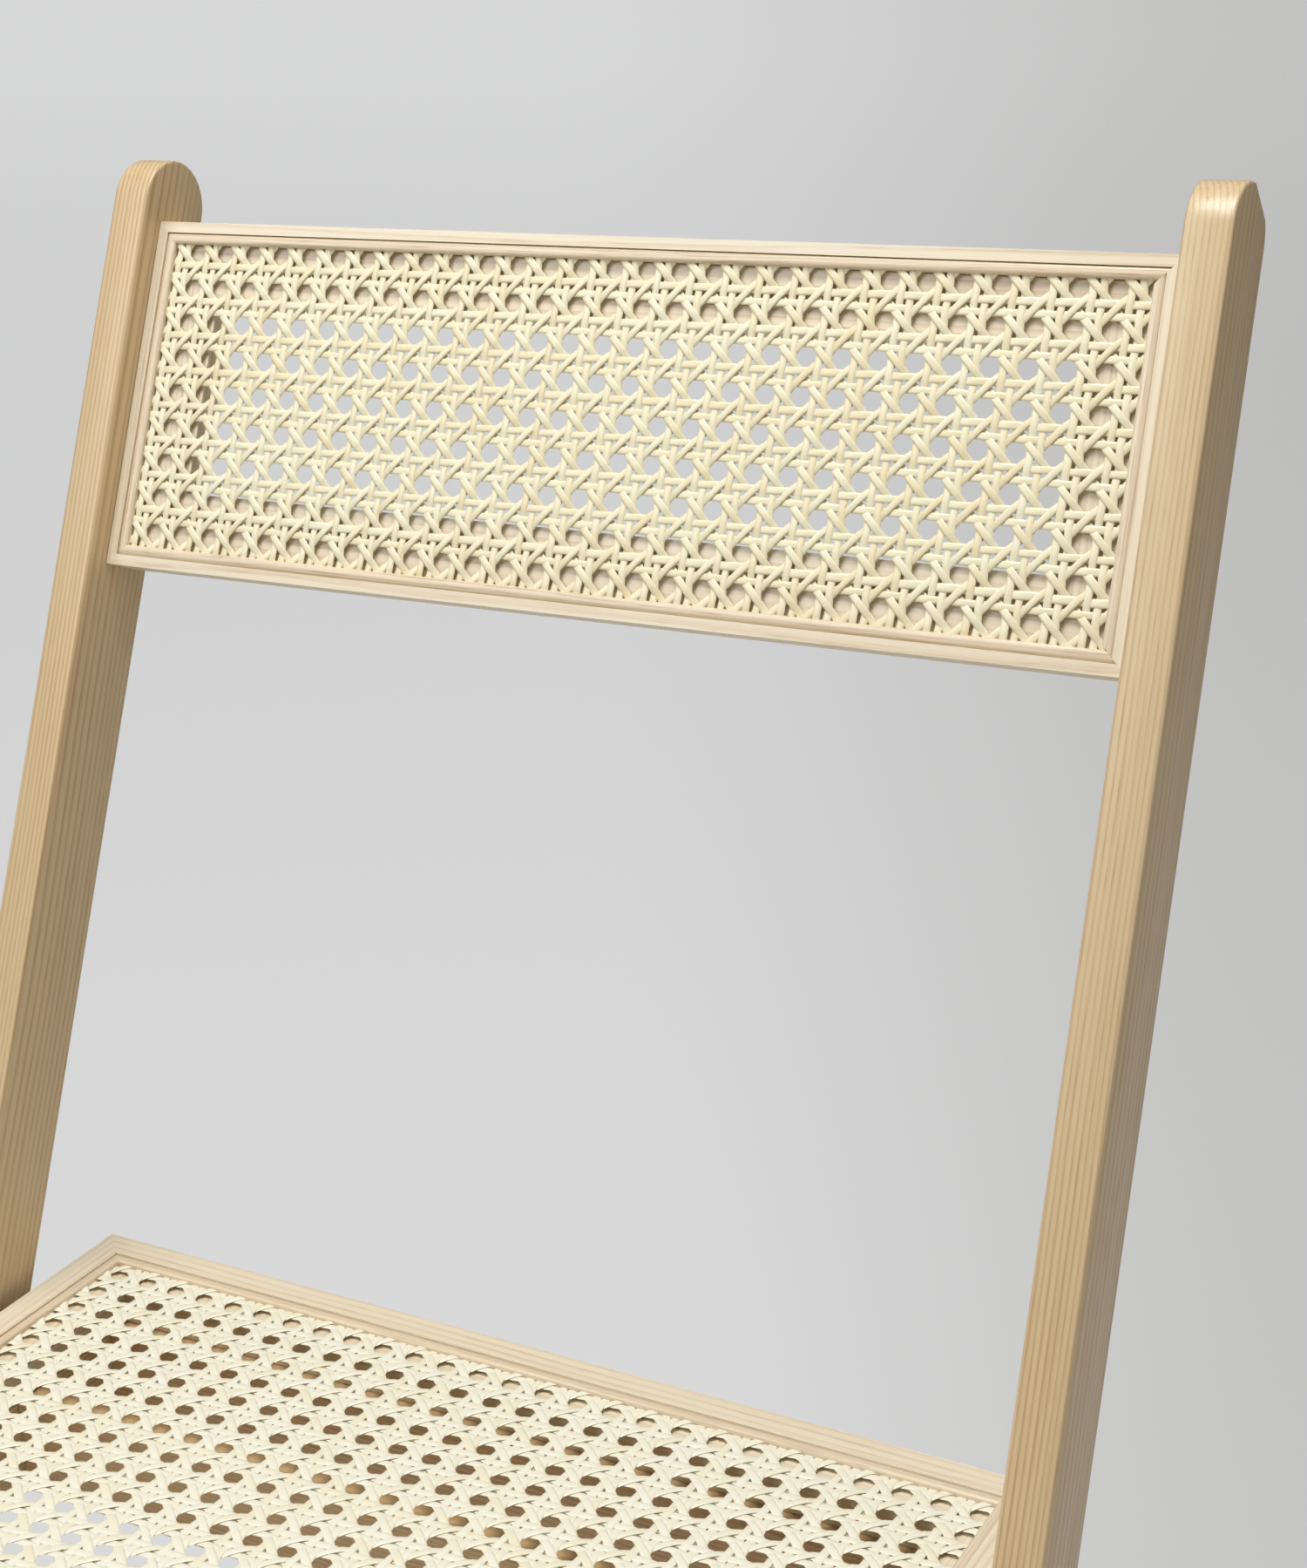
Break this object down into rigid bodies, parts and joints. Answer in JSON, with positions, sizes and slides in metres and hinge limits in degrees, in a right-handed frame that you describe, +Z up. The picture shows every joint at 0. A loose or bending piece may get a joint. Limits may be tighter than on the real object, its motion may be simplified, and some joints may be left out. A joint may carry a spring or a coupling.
{
  "type": "folding chair",
  "caption": "Folding side chair with leaning wooden posts, a cane back panel, a cane seat that swings up between the posts and crossed rear legs.",
  "frame": {"origin": "on the floor, under the centre of the bounding box", "axes": "+Z up, the chair faces -Y; left in a node name is -X, as seen by someone who faces the chair"},
  "size_m": [0.4176, 0.4891, 0.804],
  "materials": {
    "ash_wood": "pale wood, straight grain, satin lacquer",
    "cane": "woven cane webbing, semi-gloss",
    "reed": "round reed, glossy",
    "steel": "zinc plated",
    "nylon": "off-white nylon"
  },
  "bodies": {
    "back_frame": {"post_left": "ash_wood", "post_right": "ash_wood", "back_rail_top": "ash_wood", "back_rail_bottom": "ash_wood", "back_rail_left": "ash_wood", "back_rail_right": "ash_wood", "front_stretcher": "ash_wood", "back_dowel_lower_left": "ash_wood", "back_dowel_upper_left": "ash_wood", "back_dowel_lower_right": "ash_wood", "back_dowel_upper_right": "ash_wood", "back_cane": "cane", "back_spline_top": "reed", "back_spline_bottom": "reed", "back_spline_left": "reed", "back_spline_right": "reed", "front_glide_left": "nylon", "front_glide_right": "nylon", "seat_pivot_bolt_left": "steel", "seat_pivot_bolt_right": "steel", "seat_pivot_spacer_left": "steel", "seat_pivot_spacer_right": "steel", "leg_pivot_bolt_left": "steel", "leg_pivot_bolt_right": "steel", "leg_pivot_washer_left": "nylon", "leg_pivot_washer_right": "nylon"},
    "seat": {"seat_rail_front": "ash_wood", "seat_rail_rear": "ash_wood", "seat_rail_left": "ash_wood", "seat_rail_right": "ash_wood", "seat_bearer_left": "ash_wood", "seat_bearer_right": "ash_wood", "seat_apron_front": "ash_wood", "seat_apron_middle": "ash_wood", "seat_apron_rear": "ash_wood", "seat_cane": "cane", "seat_spline_front": "reed", "seat_spline_rear": "reed", "seat_spline_left": "reed", "seat_spline_right": "reed", "seat_pivot_insert_left": "steel", "seat_pivot_insert_right": "steel", "seat_screw_front_left": "steel", "seat_screw_middle_left": "steel", "seat_screw_rear_left": "steel", "seat_screw_front_right": "steel", "seat_screw_middle_right": "steel", "seat_screw_rear_right": "steel"},
    "rear_legs": {"rear_leg_left": "ash_wood", "rear_leg_right": "ash_wood", "seat_crossbar": "ash_wood", "rear_stretcher": "ash_wood", "rear_glide_left": "nylon", "rear_glide_right": "nylon", "leg_pivot_nut_left": "steel", "leg_pivot_nut_right": "steel"}
  },
  "joints": [
    {"name": "seat_fold", "type": "hinge", "parent": "back_frame", "child": "seat", "pos_m": [0, 0.03814, 0.39338], "axis": [-1, 0, 0], "range_deg": [0, 110]},
    {"name": "rear_leg_fold", "type": "hinge", "parent": "back_frame", "child": "rear_legs", "pos_m": [0, -0.02691, 0.25822], "axis": [-1, 0, 0], "range_deg": [0, 55]}
  ],
  "couplings": [
    {"joint": "rear_leg_fold", "follows": "seat_fold", "ratio": 0.5}
  ]
}
